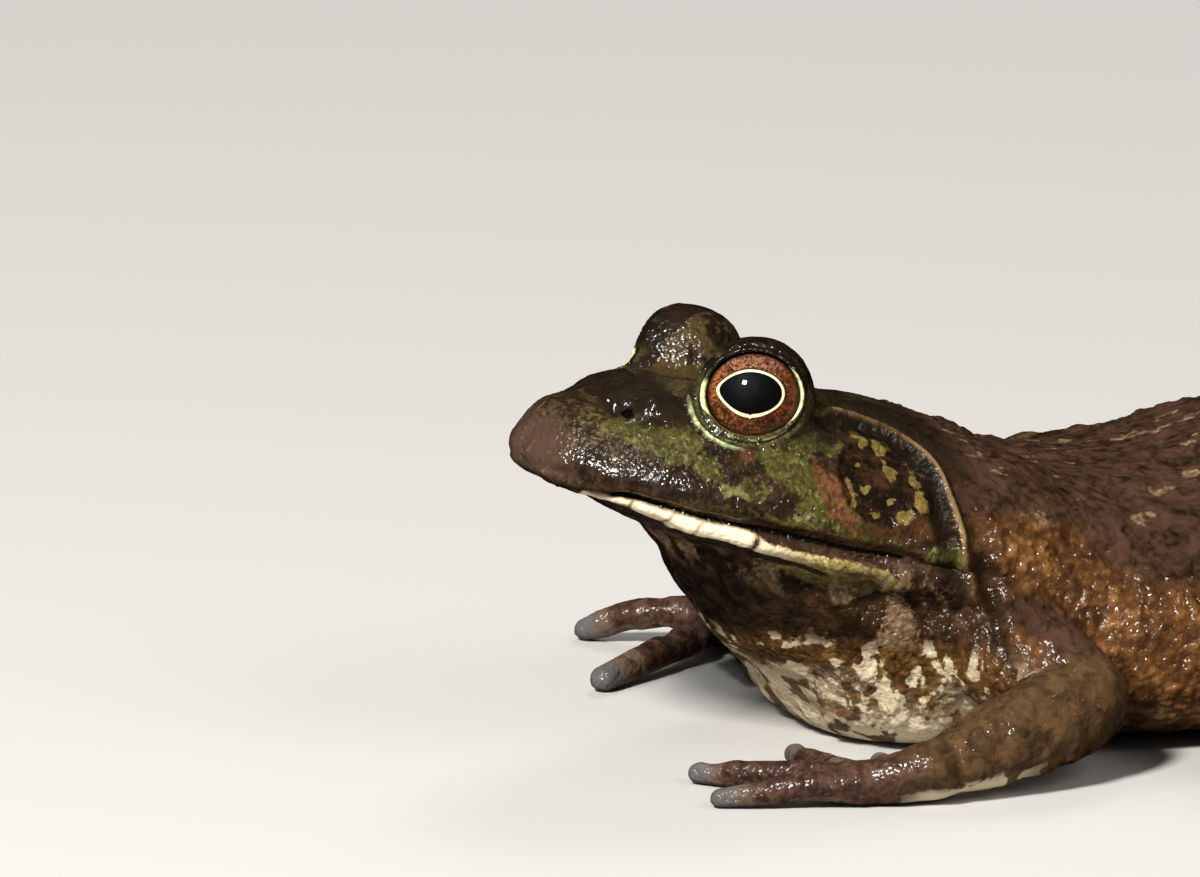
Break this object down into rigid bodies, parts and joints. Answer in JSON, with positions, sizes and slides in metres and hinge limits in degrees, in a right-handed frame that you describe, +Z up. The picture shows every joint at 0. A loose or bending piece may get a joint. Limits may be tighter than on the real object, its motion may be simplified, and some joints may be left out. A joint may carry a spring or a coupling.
{
  "type": "bullfrog model",
  "caption": "Life-size still model of an American bullfrog resting on its belly, head raised, with bulging eyes, round eardrums, folded hind legs and webbed hind feet.",
  "frame": {"origin": "on the floor, at the middle of the frog's overall length and width", "axes": "+Z up, the frog faces -Y, its left side is +X"},
  "size_m": [0.1602, 0.1328, 0.049],
  "materials": {
    "dorsal_skin": "wet dark brown and olive skin with paler flecks and small warts",
    "ventral_skin": "moist cream skin mottled with brown",
    "limb_skin": "moist brown skin with darker bars and granules",
    "eardrum": "smooth dark brown membrane with ochre spots round its rim",
    "eye": "wet glossy eyeball, orange-red iris with black netting and a gold-ringed oval pupil"
  },
  "bodies": {
    "root": {"head": "dorsal_skin", "trunk": "dorsal_skin", "lower_jaw": "ventral_skin", "throat": "ventral_skin", "upper_arm_L": "limb_skin", "upper_arm_R": "limb_skin", "forearm_L": "limb_skin", "forearm_R": "limb_skin", "hand_L": "limb_skin", "hand_R": "limb_skin", "thigh_L": "limb_skin", "thigh_R": "limb_skin", "shank_L": "limb_skin", "shank_R": "limb_skin", "tarsus_L": "limb_skin", "tarsus_R": "limb_skin", "foot_L": "limb_skin", "foot_R": "limb_skin", "tympanum_L": "eardrum", "tympanum_R": "eardrum", "eye_L": "eye", "eye_R": "eye"}
  },
  "joints": []
}
